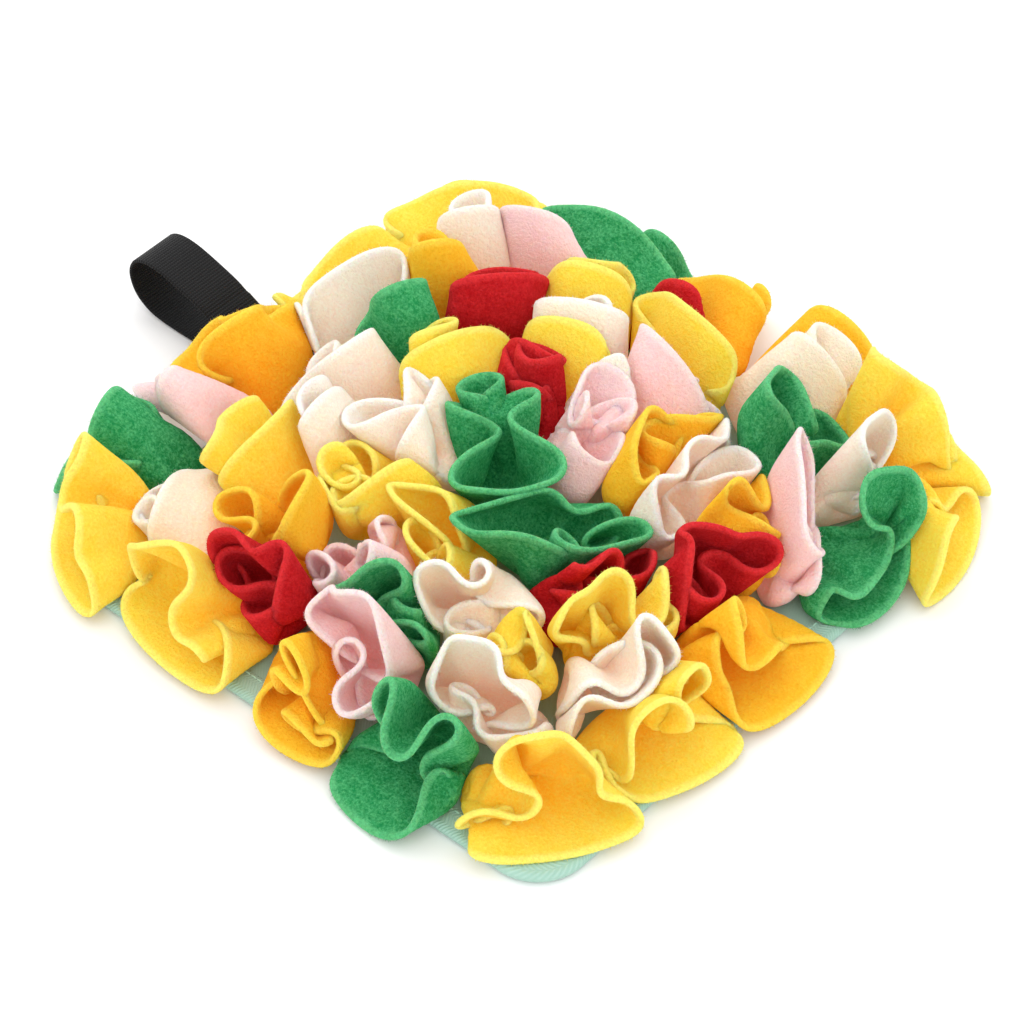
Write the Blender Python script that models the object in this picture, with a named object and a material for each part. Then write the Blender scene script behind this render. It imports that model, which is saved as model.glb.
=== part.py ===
"""A snuffle mat: a flat square panel bound with tape, a folded webbing loop at one side, and a
crowd of fleece circles. Each circle is sewn down at its centre only, so it stands as a ruffled cup.
Metres, +Z up, the panel's underside on z = 0 and its centre at the origin."""
import bpy
import numpy as np

MM = 0.001

# ---- the panel and its tape, in millimetres ------------------------------------------------
HALF = 140.0            # half the side of the bound panel
CORNER = 24.0           # radius of its corners
CORNER_STEPS = 6        # straight steps in each corner
PANEL_TOP = 5.0         # thickness of the panel
TAPE = 1.0              # thickness of the binding tape
TAPE_WIDTH = 12.0       # how far the tape reaches in over the panel
GAP = 0.3               # clearance between sewn pieces

# ---- the hanging loop ------------------------------------------------------------------------
WEB_WIDTH = 25.0
WEB_THICK = 1.5
WEB_Y = 16.5            # where its middle crosses the panel's -X side
WEB_LINE = [            # x, z of the middle of the webbing, from one sewn end to the other
    (-126.0, 6.15), (-140.0, 6.15), (-149.0, 4.6), (-157.0, 2.0), (-168.0, 1.1), (-190.0, 1.1),
    (-209.0, 1.6), (-220.0, 3.4), (-227.5, 8.6), (-231.0, 16.0), (-231.0, 23.0), (-227.5, 29.0),
    (-220.5, 31.8), (-211.0, 31.4), (-199.0, 28.2), (-187.5, 24.2), (-179.5, 19.8),
    (-171.5, 15.8), (-159.0, 11.6), (-147.0, 8.9), (-138.0, 8.1), (-126.0, 8.1)]

# ---- the fleece circles ------------------------------------------------------------------------
FLEECE = 2.5            # thickness of the fleece
RADIUS = 50.0           # of every circle
RINGS = {               # rows of points from the stitch to the rim, as shares of the radius
    "fan": (0.2, 0.58, 1.0), "ruffle": (0.2, 0.58, 1.0), "cup": (0.2, 0.58, 1.0),
    "skirt": (0.2, 0.5, 0.76, 1.0)}
FOLD_STEPS = 4          # points along the rim for each lobe
CLEAR = 0.25            # half the space kept between neighbouring circles
OVERLAP = 0.2           # how far the meeting planes tip, so that one circle lies over the next
CREASE = 2.2            # how narrow the creases are beside the lobes
PULL = 60.0             # how sharply a circle flattens against its neighbours
CORE = 0.72             # how far up its leaning axis a circle's core runs, as a share of the radius

# How a circle stands: half angle of its cup along the lean (degrees), how deep its ruffles are
# drawn in (a share), how calm its outer side is, how far the rim flares and droops (degrees).
KINDS = {
    #           deep  wave  calm  flare droop
    "fan":    (22.0, 0.30, 0.80, 0.05,  4.0),
    "ruffle": (42.0, 0.40, 0.20, 0.12,  8.0),
    "cup":    (42.0, 0.35, 0.30, 0.10,  0.0),
    "skirt":  (36.0, 0.35, 0.30, 0.10, 14.0),
}

# One row a circle: x, y of its stitch (mm), the way it leans and how far from upright, the half
# angle of its cup across the lean (degrees), the number of ruffles and where they start.
CIRCLES = [
    # name         kind       x     y   turn  lean wide folds phase
    ("yellow_1",  "skirt",   -119,  -97,  -135,  72,  66,  6,  120),
    ("green_1",   "fan",     -121,  -57,  -170,  68,  62,  5,  240),
    ("golden_1",  "fan",     -121,    0,   176,  50,  62,  5,   30),
    ("yellow_2",  "fan",     -121,   71,   165,  66,  62,  5,  300),
    ("yellow_3",  "fan",     -115,  111,   130,  66,  62,  5,    0),
    ("green_2",   "fan",      -71,  123,   102,  70,  62,  5,  300),
    ("golden_2",  "fan",        4,  121,    86,  66,  72,  5,   90),
    ("yellow_5",  "skirt",    105,  119,    45,  76,  70,  7,  150),
    ("green_3",   "skirt",     98,   79,     5,  70,  66,  5,  120),
    ("golden_3",  "skirt",    101,    6,     0,  64,  66,  4,  270),
    ("yellow_6",  "skirt",    103,  -37,    -5,  65,  66,  6,  330),
    ("yellow_7",  "skirt",     89,  -99,   -45,  62,  66,  5,   90),
    ("green_4",   "skirt",     69,  -99,   -92,  62,  66,  6,  210),
    ("golden_4",  "skirt",     -7, -102,   -90,  64,  66,  5,   60),
    ("yellow_8",  "skirt",    -59, -104,   -95,  68,  66,  5,    0),
    ("cream_1",   "cup",      -79,  -95,  -145,  62,  56,  4,  150),
    ("pink_1",    "fan",     -118,  -35,   178,  66,  62,  5,   60),
    ("white_1",   "fan",     -101,   41,   172,  57,  62,  5,  270),
    ("white_2",   "fan",      -92,   90,   140,  51,  62,  5,  210),
    ("pink_2",    "fan",      -75,  104,   112,  60,  62,  5,  240),
    ("red_2",     "fan",      -15,  117,    95,  66,  62,  5,  240),
    ("cream_2",   "fan",       38,  119,    85,  66,  62,  5,  210),
    ("white_3",   "cup",       90,  103,    60,  59,  56,  5,  270),
    ("pink_5",    "ruffle",    88,   59,    25,  52,  58,  5,  330),
    ("red_5",     "ruffle",    81,    8,     0,  47,  58,  5,  210),
    ("white_5",   "ruffle",    83,  -41,   -26,  49,  58,  5,  240),
    ("white_6",   "ruffle",    60,  -81,   -54,  47,  58,  6,  180),
    ("pink_4",    "ruffle",     9,  -90,   -83,  52,  58,  5,  270),
    ("red_4",     "ruffle",   -40,  -89,  -105,  53,  58,  5,   30),
    ("yellow_9",  "fan",      -65,  -51,  -170,  33,  62,  6,  180),
    ("green_5",   "fan",      -82,   34,   164,  45,  62,  5,   30),
    ("golden_5",  "fan",      -88,   71,   139,  48,  62,  5,    0),
    ("yellow_10", "fan",      -40,   88,   112,  48,  62,  5,  150),
    ("yellow_11", "fan",       -9,   98,    85,  56,  62,  5,  330),
    ("green_6",   "ruffle",    61,   90,    55,  50,  58,  5,   90),
    ("golden_6",  "ruffle",    77,   38,    50,  44,  58,  5,  180),
    ("yellow_12", "ruffle",    68,  -28,   -18,  37,  58,  6,  270),
    ("yellow_13", "ruffle",    52,  -63,   -53,  34,  58,  6,  210),
    ("green_7",   "ruffle",     7,  -70,   -90,  40,  58,  5,  150),
    ("white_7",   "fan",      -78,   15,   173,  42,  62,  5,  120),
    ("red_1",     "fan",      -70,   62,   138,  37,  62,  5,  180),
    ("white_8",   "fan",      -24,   76,   111,  39,  62,  5,  270),
    ("pink_3",    "fan",        0,   75,    76,  40,  62,  5,  300),
    ("white_9",   "ruffle",    45,   46,    43,  24,  58,  5,  210),
    ("red_6",     "ruffle",    50,  -22,   -11,  27,  58,  6,  270),
    ("pink_6",    "ruffle",   -11,  -55,  -114,  29,  58,  6,  150),
    ("white_11",  "fan",      -60,  -31,  -175,  31,  62,  5,   90),
    ("yellow_15", "fan",      -51,   33,   155,  26,  62,  5,  300),
    ("yellow_16", "fan",      -26,   57,   107,  30,  62,  5,  240),
    ("golden_7",  "cup",       25,   46,    52,  24,  56,  5,  120),
    ("green_8",   "cup",       30,  -12,    12,  15,  56,  4,    0),
    ("yellow_17", "ruffle",    11,  -39,   -83,  20,  58,  5,  180),
    ("yellow_18", "ruffle",   -40,  -27,  -143,  21,  58,  5,   90),
    ("white_13",  "cup",      -40,    4,   178,  21,  56,  4,   90),
    ("green_9",   "cup",      -22,   17,   147,  11,  56,  5,  300),
    ("red_8",     "cup",      -19,   38,   103,  20,  56,  5,   60),
    ("pink_7",    "cup",        0,   36,    81,  18,  56,  5,   90),
]

COLOURS = {
    "yellow": (0.87, 0.66, 0.09), "golden": (0.80, 0.36, 0.02), "green": (0.02, 0.22, 0.07),
    "red": (0.40, 0.01, 0.012), "pink": (0.82, 0.52, 0.55), "white": (0.82, 0.74, 0.66),
    "cream": (0.84, 0.70, 0.55), "mint": (0.36, 0.62, 0.50), "black": (0.008, 0.008, 0.008)}


# ---- helpers -----------------------------------------------------------------------------------
def cloth(name, colour):
    """Matt cloth in one colour."""
    material = bpy.data.materials.new(name)
    material.use_nodes = True
    shader = material.node_tree.nodes["Principled BSDF"]
    shader.inputs["Base Color"].default_value = (*COLOURS[colour], 1.0)
    shader.inputs["Roughness"].default_value = 0.95
    return material


def add_solid(name, points, faces, colour):
    """One named object from millimetre points and faces."""
    mesh = bpy.data.meshes.new(name)
    mesh.from_pydata((np.asarray(points) * MM).tolist(), [], faces)
    mesh.validate()
    obj = bpy.data.objects.new(name, mesh)
    bpy.context.collection.objects.link(obj)
    mesh.materials.append(cloth(name + "_cloth", colour))
    return obj


def rounded_square(half, radius):
    """Points round a square with rounded corners, anticlockwise."""
    turn = np.linspace(0, np.pi / 2, CORNER_STEPS + 1)
    arcs = []
    for quarter, (sx, sy) in enumerate(((1, 1), (-1, 1), (-1, -1), (1, -1))):
        angle = turn + quarter * np.pi / 2
        middle = np.array([sx, sy]) * (half - radius)
        arcs.append(middle + radius * np.column_stack([np.cos(angle), np.sin(angle)]))
    return np.vstack(arcs)


def stack(section, closed):
    """Points and faces of rounded squares joined one after another. Each section row is
    (half side, z); closed joins the last to the first, otherwise both ends are capped."""
    rings, count = [], 4 * (CORNER_STEPS + 1)
    for half, z in section:
        flat = rounded_square(half, CORNER - (HALF - half) if half > HALF - CORNER + 2 else 2.0)
        rings.append(np.column_stack([flat, np.full(count, z)]))
    faces = []
    for low in range(len(rings) if closed else len(rings) - 1):
        high = (low + 1) % len(rings)
        for k in range(count):
            j = (k + 1) % count
            faces.append((low * count + k, low * count + j, high * count + j, high * count + k))
    if not closed:
        faces.append(tuple(reversed(range(count))))
        faces.append(tuple(range((len(rings) - 1) * count, len(rings) * count)))
    return np.vstack(rings), faces


# ---- panel, tape and loop ------------------------------------------------------------------------
def build_panel():
    """The padded panel, thinner at its rim where the tape folds round it."""
    thick = HALF - TAPE_WIDTH - GAP
    rim = HALF - TAPE - GAP
    low, high = TAPE + GAP, PANEL_TOP - TAPE - GAP
    section = [(thick, 0), (thick, low), (rim, low), (rim, high), (thick, high), (thick, PANEL_TOP)]
    add_solid("base_panel", *stack(section, closed=False), "mint")


def build_binding():
    """The tape: flat under the panel's rim, round its edge and back over the top."""
    inner, edge = HALF - TAPE_WIDTH, HALF - TAPE
    section = [(inner, 0), (HALF - 1.2, 0), (HALF, 1.2), (HALF, PANEL_TOP - 1.2),
               (HALF - 1.2, PANEL_TOP), (inner, PANEL_TOP), (inner, PANEL_TOP - TAPE),
               (edge, PANEL_TOP - TAPE), (edge, TAPE), (inner, TAPE)]
    add_solid("edge_binding", *stack(section, closed=True), "mint")


def build_loop():
    """The webbing: its line given thickness along its own normals, then width."""
    line = np.array(WEB_LINE)
    along = np.gradient(line, axis=0)
    along /= np.linalg.norm(along, axis=1, keepdims=True)
    normal = np.column_stack([-along[:, 1], along[:, 0]]) * WEB_THICK / 2
    outline = np.vstack([line - normal, (line + normal)[::-1]])
    count = len(outline)
    sides = [np.column_stack([outline[:, 0], np.full(count, WEB_Y + s * WEB_WIDTH / 2),
                              outline[:, 1]]) for s in (-1, 1)]
    faces = [(k, k + count, (k + 1) % count + count, (k + 1) % count) for k in range(count)]
    half = len(line)
    for k in range(half - 1):
        far = count - 1 - k
        faces.append((k, k + 1, far - 1, far))
        faces.append((far + count, far - 1 + count, k + 1 + count, k + count))
    add_solid("hanging_loop", np.vstack(sides), faces, "black")


# ---- the fleece circles ----------------------------------------------------------------------------
def frame_of(circle):
    """Where a circle is stitched, its leaning axis and the two directions across it."""
    name, kind, x, y, turn, lean, wide, folds, phase = circle
    turn, lean = np.radians(turn), np.radians(lean)
    foot = np.array([x, y, PANEL_TOP + GAP + 1.2])
    outward = np.array([np.cos(turn), np.sin(turn), 0.0])
    up = np.array([0.0, 0.0, 1.0])
    axis = np.cos(lean) * up + np.sin(lean) * outward
    across = np.array([outward[1], -outward[0], 0.0])
    down = np.cos(lean) * outward - np.sin(lean) * up
    return foot, axis, across, down


def stand(circle, share, t):
    """The cloth of a circle before it meets its neighbours: a plain open cup. Every point
    stays its own distance from the stitch (share * RADIUS), so the cloth is never stretched;
    its direction follows the ellipse (wide cos t, deep sin t), in degrees about the leaning
    axis, opened out by flare and bent over by droop towards the rim."""
    name, kind, x, y, turn, lean, wide, folds, phase = circle
    deep, dent, calm, flare, droop = KINDS[kind]
    foot, axis, across, down = frame_of(circle)
    share, t = share[:, None], t[None, :]
    a = np.radians(wide * np.cos(t) * (1 + flare * share ** 2))
    b = np.radians(deep * np.sin(t) * (1 + flare * share ** 2)
                   + droop * share ** 2 * (0.5 + 0.5 * np.sin(t)))
    theta = np.hypot(a, b) + 1e-9
    points = (np.cos(theta)[..., None] * axis
              + (np.sin(theta) * a / theta)[..., None] * across
              + (np.sin(theta) * b / theta)[..., None] * down)
    return foot + RADIUS * share[..., None] * points


def ground(x, y):
    """Height the cloth rests on: the panel, falling away beyond its edge, and the webbing."""
    outside = np.maximum(np.abs(x), np.abs(y)) - HALF
    level = PANEL_TOP * (1 - smooth((outside - 3) / 14))
    over = np.interp(-x, [122, 138, 147, 159, 171, 187, 211], [10, 10, 11, 14, 19, 27, 34])
    beside = smooth((np.abs(y - WEB_Y) - WEB_WIDTH / 2 - 4) / 10)
    return np.maximum(level, np.where(x < -120, over * (1 - beside), 0))


def unit(v):
    return v / np.linalg.norm(v)


def smooth(s):
    s = np.clip(s, 0, 1)
    return s * s * (3 - 2 * s)


def settle(points, above=GAP):
    """Lift the cloth that would sink: z -> ground + above + softplus(z - ground - above)."""
    floor = ground(points[..., 0], points[..., 1]) + above
    height = points[..., 2] - floor
    lifted = points.copy()
    lifted[..., 2] = floor + np.where(height > 6, height, np.log1p(np.exp(np.minimum(height, 6))))
    return lifted


def parting_plane(one, two):
    """The plane two neighbours meet on, as (normal, offset). It starts as the linear
    discriminant of their two clouds of points, n = (C1 + C2)^-1 (m2 - m1), passes midway
    between the tops of their cores and tips so that the circle nearer the middle lies over the
    other; it turns back towards the upright plane until both cores stand clear of it."""
    spread = np.cov(one["cloud"].T) + np.cov(two["cloud"].T) + 4.0 * np.eye(3)
    best = unit(np.linalg.solve(spread, two["cloud"].mean(0) - one["cloud"].mean(0)))
    lean = unit(one["axis"] + two["axis"])
    apart = two["core"].mean(0) - one["core"].mean(0)
    plain = unit(apart - (apart @ lean) * lean)
    over = -1.0 if one["from_middle"] < two["from_middle"] else 1.0
    clear = CLEAR + FLEECE + 1.0
    middle = 0.5 * (one["core"][-1] + two["core"][-1])
    for share in (1.0, 0.75, 0.5, 0.25, 0.0):
        normal = unit(share * best + (1 - share) * plain)
        normal = unit(normal + share * over * OVERLAP * lean)
        reach1, reach2 = (one["core"] @ normal).max(), (two["core"] @ normal).min()
        if reach2 - reach1 > 2 * clear:
            break
    margin = min(clear, 0.5 * (reach2 - reach1))
    return normal, float(np.clip(middle @ normal, reach1 + margin, reach2 - margin))


def neighbourhood():
    """Every circle's cloud, core and the planes it must keep behind."""
    share, t = np.linspace(0.1, 1, 8), np.linspace(0, 2 * np.pi, 48, endpoint=False)
    circles = []
    for row in CIRCLES:
        foot, axis, across, down = frame_of(row)
        cloud = settle(stand(row, share, t)).reshape(-1, 3)
        reach = np.linspace(0, CORE * RADIUS, 5)[:, None]
        circles.append(dict(cloud=cloud, axis=axis, core=foot + reach * axis, planes=[],
                            from_middle=float(np.hypot(row[2], row[3]))))
    for i, one in enumerate(circles):
        for two in circles[i + 1:]:
            if np.linalg.norm(one["cloud"].mean(0) - two["cloud"].mean(0)) > 2 * RADIUS:
                continue
            normal, offset = parting_plane(one, two)
            one["planes"].append((normal, offset))
            two["planes"].append((-normal, -offset))
    return circles


def core_of(circle, share):
    """Points on the leaning axis that the cloth of each ring stands round."""
    foot, axis, across, down = frame_of(circle)
    return foot + (CORE * share * RADIUS)[:, None, None] * axis


def press(core, points, planes):
    """Press the cup towards its core until it stays behind every one of its planes. With q
    the share of the way from the core to a plane,
    p -> core + (p - core) / (1 + sum q^n)^(1/n), which crosses none of them."""
    out = points - core
    total = 0.0
    for normal, offset in planes:
        room = np.maximum(offset - CLEAR - core @ normal, 0.3)
        total = total + (np.maximum(out @ normal, 0) / room) ** PULL
    return out / ((1 + total) ** (1 / PULL))[..., None]


def ruffle(circle, share, t):
    """How far each point of the cup is drawn in towards the core: 1 on the broad lobes,
    1 - dent in the narrow creases between them, growing from the stitch outwards and calmer
    on the outer side: 1 - dent * quiet * grow * ((1 - cos(folds t + phase)) / 2)^CREASE."""
    name, kind, x, y, turn, lean, wide, folds, phase = circle
    deep, dent, calm, flare, droop = KINDS[kind]
    grow = np.clip((share[:, None] - 0.19) / 0.45, 0, 1) ** 0.8
    quiet = 1 - calm * (0.5 + 0.5 * np.sin(t))
    return 1 - dent * quiet * grow * (0.5 - 0.5 * np.cos(folds * t + np.radians(phase))) ** CREASE


def wrap_normals(points):
    """Outward normals of a surface wrapped along its second axis."""
    along = np.roll(points, -1, axis=1) - np.roll(points, 1, axis=1)
    up = np.gradient(points, axis=0)
    normal = np.cross(along, up)
    return normal / np.maximum(np.linalg.norm(normal, axis=2, keepdims=True), 1e-9)


def both_faces(circle, share, t, planes):
    """The outer and inner face of the cloth. The inner face lies towards the core by the
    thickness of the fleece, measured square to the cloth."""
    core = core_of(circle, share)
    cup = core + press(core, settle(stand(circle, share, t)), planes)
    outer = core + (cup - core) * ruffle(circle, share, t)[..., None]
    floor = ground(outer[..., 0], outer[..., 1]) + GAP
    outer[..., 2] = np.maximum(outer[..., 2], floor)
    out = outer - core
    reach = np.linalg.norm(out, axis=2)
    square = np.abs((wrap_normals(outer) * out).sum(2)) / reach
    depth = np.minimum(FLEECE / np.maximum(square, 0.45), 0.55 * reach)
    return outer, core + out * (1 - depth / reach)[..., None]


def build_circle(circle, planes):
    """Both faces of one circle, joined round the rim and closed over the stitch. Both split
    their quads along the outer face's shorter diagonal, so the cloth keeps its thickness."""
    name, kind, x, y, turn, lean, wide, folds, phase = circle
    foot, axis, across, down = frame_of(circle)
    around = folds * FOLD_STEPS
    t = (np.arange(around) / around) * 2 * np.pi - np.radians(phase) / folds
    outer, inner = both_faces(circle, np.array(RINGS[kind]), t, planes)
    rings = len(RINGS[kind])
    inside = inner[0].mean(0) - 0.6 * axis
    points = np.vstack([outer.reshape(-1, 3), inner.reshape(-1, 3),
                        [foot[0], foot[1], PANEL_TOP + GAP], inside])
    faces = []
    for k in range(around):
        j = (k + 1) % around
        for r in range(rings - 1):
            o, i = r * around, (rings + r) * around
            corners = [k, j, around + j, around + k]
            one = np.linalg.norm(outer[r, k] - outer[r + 1, j])
            two = np.linalg.norm(outer[r, j] - outer[r + 1, k])
            if one > two:
                corners = corners[1:] + corners[:1]
            for a, b, c in (corners[:3], corners[2:] + corners[:1]):
                faces.append((o + a, o + b, o + c))
                faces.append((i + b, i + a, i + c))
        o, i = (rings - 1) * around, (2 * rings - 1) * around
        faces.append((o + k, o + j, i + j, i + k))
        faces.append((j, k, 2 * rings * around))
        faces.append((rings * around + k, rings * around + j, 2 * rings * around + 1))
    add_solid("petal_" + name, points, faces, name.split("_")[0])


for old in list(bpy.data.objects):
    bpy.data.objects.remove(old, do_unlink=True)
build_panel()
build_binding()
build_loop()
for circle, around in zip(CIRCLES, neighbourhood()):
    build_circle(circle, around["planes"])
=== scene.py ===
# %% [markdown]
# # A snuffle mat
# A snuffle mat hides dry food in a crowd of fleece circles. A maker cuts the circles, sews each
# one down at its centre only, close to the next, and the crowd pushes every circle up into a
# ruffled cup. Under them lies a padded panel, bound round its edge with tape, with a folded
# webbing loop to hang it by.
#
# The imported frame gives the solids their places. Each cell makes one kind of piece or finish in
# finer form, and says why it is made that way.

# %% Load the frame
import math

import bpy
import numpy as np
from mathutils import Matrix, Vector


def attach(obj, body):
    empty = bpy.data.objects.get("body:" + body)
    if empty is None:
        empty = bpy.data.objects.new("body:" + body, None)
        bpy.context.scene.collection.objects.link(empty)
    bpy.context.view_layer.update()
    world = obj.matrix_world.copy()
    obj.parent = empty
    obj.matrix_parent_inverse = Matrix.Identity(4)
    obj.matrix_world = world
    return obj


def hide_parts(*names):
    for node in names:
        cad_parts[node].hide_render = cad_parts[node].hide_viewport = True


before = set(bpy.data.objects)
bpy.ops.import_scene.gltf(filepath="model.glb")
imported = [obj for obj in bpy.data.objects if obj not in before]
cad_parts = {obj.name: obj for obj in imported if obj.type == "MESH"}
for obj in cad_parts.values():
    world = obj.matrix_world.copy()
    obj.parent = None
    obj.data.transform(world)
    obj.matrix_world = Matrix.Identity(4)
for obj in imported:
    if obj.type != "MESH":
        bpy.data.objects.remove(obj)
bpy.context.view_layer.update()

# %% [markdown]
# ## Driving sizes
# Everything is worked out in millimetres and scaled once, when a mesh is made. The panel, tape
# and webbing repeat the sizes of their solids.

# %% Driving sizes
MM = 0.001
HALF = 140.0  # half the side of the bound panel
CORNER = 24.0  # radius of its corners
PANEL_TOP = 5.0  # thickness of the panel
TAPE_WIDTH = 12.0  # how far the binding tape reaches in over the panel
GAP = 0.3  # clearance between sewn pieces
WEB_WIDTH = 25.0  # hanging loop
WEB_THICK = 1.5
WEB_Y = 16.5
FLEECE = 2.5  # thickness of the fleece
RADIUS = 50.0  # of every circle

# %% [markdown]
# ## Small tools
# Pieces are grids of points: one parameter runs along the piece, the other round or across it.
# A grid becomes a mesh by joining each point to its neighbours, for all points at once.


# %% Small tools
def size(v):
    """|v| along the last axis, kept as a column."""
    return np.linalg.norm(v, axis=-1, keepdims=True)


def unit(v):
    """v / |v|, along the last axis."""
    return v / np.maximum(size(v), 1e-9)


def smooth(s):
    """The soft step 3s^2 - 2s^3 between 0 and 1."""
    s = np.clip(s, 0, 1)
    return s * s * (3 - 2 * s)


def whole_turn(count):
    """Angles that run evenly round a whole turn."""
    return np.linspace(0, 2 * np.pi, count, endpoint=False)


def lengths(line):
    """How far along a line of points each point lies."""
    return np.append(0, np.cumsum(np.linalg.norm(np.diff(line, axis=0), axis=1)))


def grid_faces(rows, columns, closed_rows=False):
    """Quads that join a grid of points numbered row by row, every row closed: (r, k),
    (r, k+1), (r+1, k+1), (r+1, k)."""
    numbers = np.arange(rows * columns).reshape(rows, columns)
    numbers = np.hstack([numbers, numbers[:, :1]])
    if closed_rows:
        numbers = np.vstack([numbers, numbers[:1]])
    return np.stack([numbers[:-1, :-1], numbers[:-1, 1:], numbers[1:, 1:], numbers[1:, :-1]],
                    axis=-1).reshape(-1, 4)


def end_caps(rows, columns):
    """The two faces that close the first and the last row of a grid."""
    return [list(range(columns))[::-1], list(range((rows - 1) * columns, rows * columns))]


def flat_disc(share, around):
    """The flat circle's points, ring by ring: share * RADIUS * (cos phi, sin phi)."""
    phi = whole_turn(around)
    rings = share[:, None, None] * RADIUS * np.stack([np.cos(phi), np.sin(phi)], -1)
    return rings.reshape(-1, 2)


def cloth_map(u, v):
    """Places on the cloth for a grid of points, from a row and a column of lengths."""
    return np.stack(np.broadcast_arrays(u, v), axis=-1).reshape(-1, 2)


def put_in(name, data):
    """A new object in the scene."""
    thing = bpy.data.objects.new(name, data)
    bpy.context.scene.collection.objects.link(thing)
    return thing


def make_piece(name, points, faces, material, uv=None, **attributes):
    """One mesh object from points in millimetres. uv is a point's place on the cloth, in
    millimetres, and each attribute is one number a point, for the materials to read."""
    mesh = bpy.data.meshes.new(name)
    mesh.from_pydata((np.asarray(points) * MM).tolist(), [], [list(map(int, f)) for f in faces])
    for key, values in attributes.items():
        mesh.attributes.new(key, "FLOAT", "POINT").data.foreach_set(
            "value", np.asarray(values, np.float32))
    if uv is not None:
        corner = np.empty(len(mesh.loops), np.int32)
        mesh.loops.foreach_get("vertex_index", corner)
        mesh.uv_layers.new(name="cloth").data.foreach_set(
            "uv", (np.asarray(uv)[corner] * MM).astype(np.float32).ravel())
    mesh.polygons.foreach_set("use_smooth", np.ones(len(mesh.polygons), bool))
    mesh.materials.append(material)
    piece = put_in(name, mesh)
    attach(piece, "root")
    return piece

# %% [markdown]
# ## The crowd of circles
# Each circle is a flat disc of fleece held at one point. The stitches lie some 30 mm apart while
# a disc is 100 mm across, so no disc has room to lie flat: it stands up, leans away from the
# middle of the mat, and its long rim ruffles in the room its neighbours leave. The discs are
# made that way here too, in three steps:
#
# 1. an open cup stands on each stitch, leaning the way the row says;
# 2. every pair of cups shares a parting plane, and each cup is pressed back behind its planes;
# 3. the cup's cloth, still too short round the rim, is let out to its full length and settles
#    into ruffles by itself, as real cloth does.
#
# A table holds one row a circle, since where a maker sews the next colour follows no formula.

# %% The table of circles
#           half angle deep, ruffle, calm side, flare, droop
KINDS = {
    "fan":    (26.0, 0.60, 0.95, 0.05,  4.0),
    "ruffle": (44.0, 0.75, 0.10, 0.15,  8.0),
    "cup":    (44.0, 0.65, 0.20, 0.12,  0.0),
    "skirt":  (38.0, 0.85, -0.90, 0.20, 20.0),
}
# a row: name, kind, x and y of the stitch, which way it leans, how far, how wide, folds, phase
CIRCLE_ROWS = """
yellow_1  skirt  -117  -92 -135 72 72 6 120
green_1   fan    -121  -66 -165 68 62 5 240
golden_1  fan    -121   -8  176 50 62 5  30
yellow_2  fan    -121   71  165 66 62 5 300
yellow_3  fan    -115  111  130 66 62 5   0
green_2   fan     -71  127  102 64 62 5 300
golden_2  fan       0  129   88 60 75 5  90
golden_8  fan      36  129   85 68 66 5  60
yellow_5  skirt   104  116   34 74 70 7 150
yellow_4  skirt    88  124   78 66 64 5 200
green_3   skirt    95   77    5 73 66 5 120
golden_3  skirt    97    6    0 70 66 4 270
yellow_6  skirt    97  -44  -12 70 66 6 330
yellow_7  skirt    88 -100  -45 74 66 5  90
green_4   skirt    62 -103  -92 68 66 6 210
golden_4  skirt    -4  -99  -90 70 66 5  60
yellow_8  skirt   -52 -102  -95 75 66 5   0
cream_1   fan     -77  -87 -150 60 70 4 150
pink_1    fan    -118  -35  178 66 62 5  60
white_1   fan    -101   41  172 57 62 5 270
white_2   fan     -92   90  140 51 62 5 210
pink_2    fan     -75  104  112 60 62 5 240
red_2     fan      -7  109   95 62 62 5 240
cream_2   fan      42  110   85 62 62 5 210
white_3   cup      84   94   28 59 56 5 270
pink_5    ruffle   88   59   25 52 58 5 330
red_5     ruffle   81    8    0 47 58 5 210
white_5   ruffle   83  -41  -26 49 58 5 240
white_6   ruffle   60  -81  -54 47 58 6 180
pink_4    ruffle    9  -90  -83 52 58 5 270
red_4     ruffle  -40  -89 -105 53 58 5  30
yellow_9  fan     -70  -48 -170 33 62 6 180
golden_9  ruffle  -51  -65 -140 34 58 6  30
green_5   fan     -82   34  164 45 62 5  30
golden_5  fan     -88   71  139 48 62 5   0
yellow_10 fan     -40   88  112 48 62 5 150
yellow_11 fan      -9   94   85 56 62 5 330
green_6   ruffle   61   90   55 50 58 5  90
golden_6  ruffle   77   38   50 44 58 5 180
yellow_12 ruffle   68  -28  -18 37 58 6 270
yellow_13 ruffle   52  -63  -53 34 58 6 210
green_7   ruffle    7  -70  -90 40 58 5 150
white_7   fan     -78   15  173 42 62 5 120
red_1     fan     -70   62  138 37 62 5 180
white_8   fan     -24   76  111 39 62 5 270
pink_3    fan       0   75   76 40 62 5 300
white_9   ruffle   45   46   43 24 58 5 210
red_6     ruffle   50  -22  -11 27 58 6 270
pink_6    ruffle  -11  -55 -114 29 58 6 150
white_11  fan     -60  -31 -175 31 62 5  90
yellow_15 fan     -51   33  155 26 62 5 300
yellow_16 fan     -26   57  107 30 62 5 240
white_12  fan     -11   50  100 32 62 5  90
golden_7  cup      25   46   52 24 56 5 120
green_8   cup      30  -12   12 15 56 4   0
yellow_17 ruffle    4  -36  -83 20 58 5 180
white_10  ruffle   27  -46  -60 30 58 5  60
yellow_18 ruffle  -40  -27 -143 21 58 5  90
white_13  cup     -40    4  178 21 56 4  90
green_9   cup     -22   17  147 11 56 5 300
red_8     cup     -19   38  103 20 56 5  60
pink_7    cup       0   36   81 18 56 5  90
"""
CIRCLES = [row.split() for row in CIRCLE_ROWS.strip().splitlines()]
ADDED = ("golden_8", "yellow_4", "golden_9", "white_10", "white_12")
print(len(CIRCLES), "circles,", round(len(CIRCLES) * math.pi * (RADIUS * MM) ** 2, 3),
      "square metres of fleece")

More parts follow.
